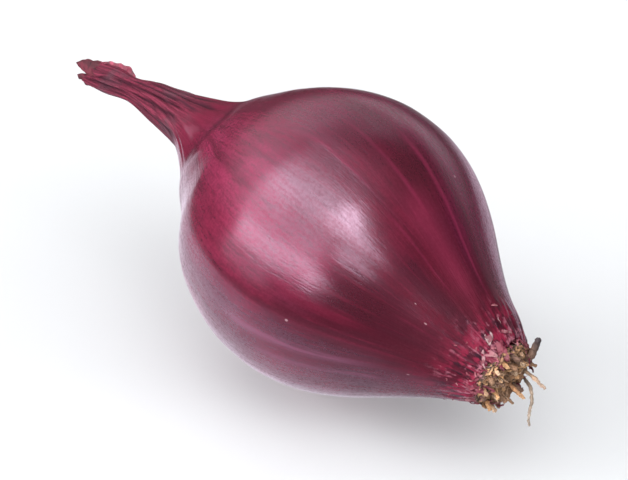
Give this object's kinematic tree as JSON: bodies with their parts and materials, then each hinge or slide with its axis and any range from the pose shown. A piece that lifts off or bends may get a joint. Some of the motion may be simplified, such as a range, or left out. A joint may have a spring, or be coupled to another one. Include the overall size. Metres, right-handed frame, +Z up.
{
  "type": "onion set",
  "caption": "Small red onion bulb for planting, with dry glossy skin, a long shrivelled neck and a tuft of short dried roots, lying on its side.",
  "frame": {"origin": "middle of the small flat spot on the belly that the bulb lies on, in the plane of the table", "axes": "+X runs level along the bulb towards the root end, +Y across it, +Z up; the root end hangs about nine degrees below level"},
  "size_m": [0.0451, 0.0223, 0.0217],
  "materials": {
    "skin": "dry papery bulb skin, satin gloss, fine fibres from end to end",
    "cork": "matt, corky and cracked",
    "dried_root": "matt, dry and fibrous",
    "dried_leaf": "matt, dry and wrinkled along its length"
  },
  "bodies": {
    "root": {"bulb": "skin", "root_plate": "cork", "root_01": "dried_root", "root_02": "dried_root", "root_03": "dried_root", "root_04": "dried_root", "root_05": "dried_root", "root_06": "dried_root", "root_07": "dried_root", "root_08": "dried_root", "root_09": "dried_root", "root_10": "dried_root", "root_11": "dried_root", "root_12": "dried_root", "root_13": "dried_root", "root_14": "dried_root", "root_15": "dried_root", "root_16": "dried_root", "root_17": "dried_root", "root_18": "dried_root", "root_19": "dried_root", "root_20": "dried_root", "root_21": "dried_root", "root_22": "dried_root", "root_23": "dried_root", "root_24": "dried_root", "root_25": "dried_root", "root_26": "dried_root", "root_27": "dried_root", "hanging_root": "dried_root", "straight_root": "dried_root", "side_root": "dried_root", "upturned_root": "dried_root", "leaf_tip_1": "dried_leaf", "leaf_tip_2": "dried_leaf", "leaf_flake": "dried_leaf"}
  },
  "joints": []
}
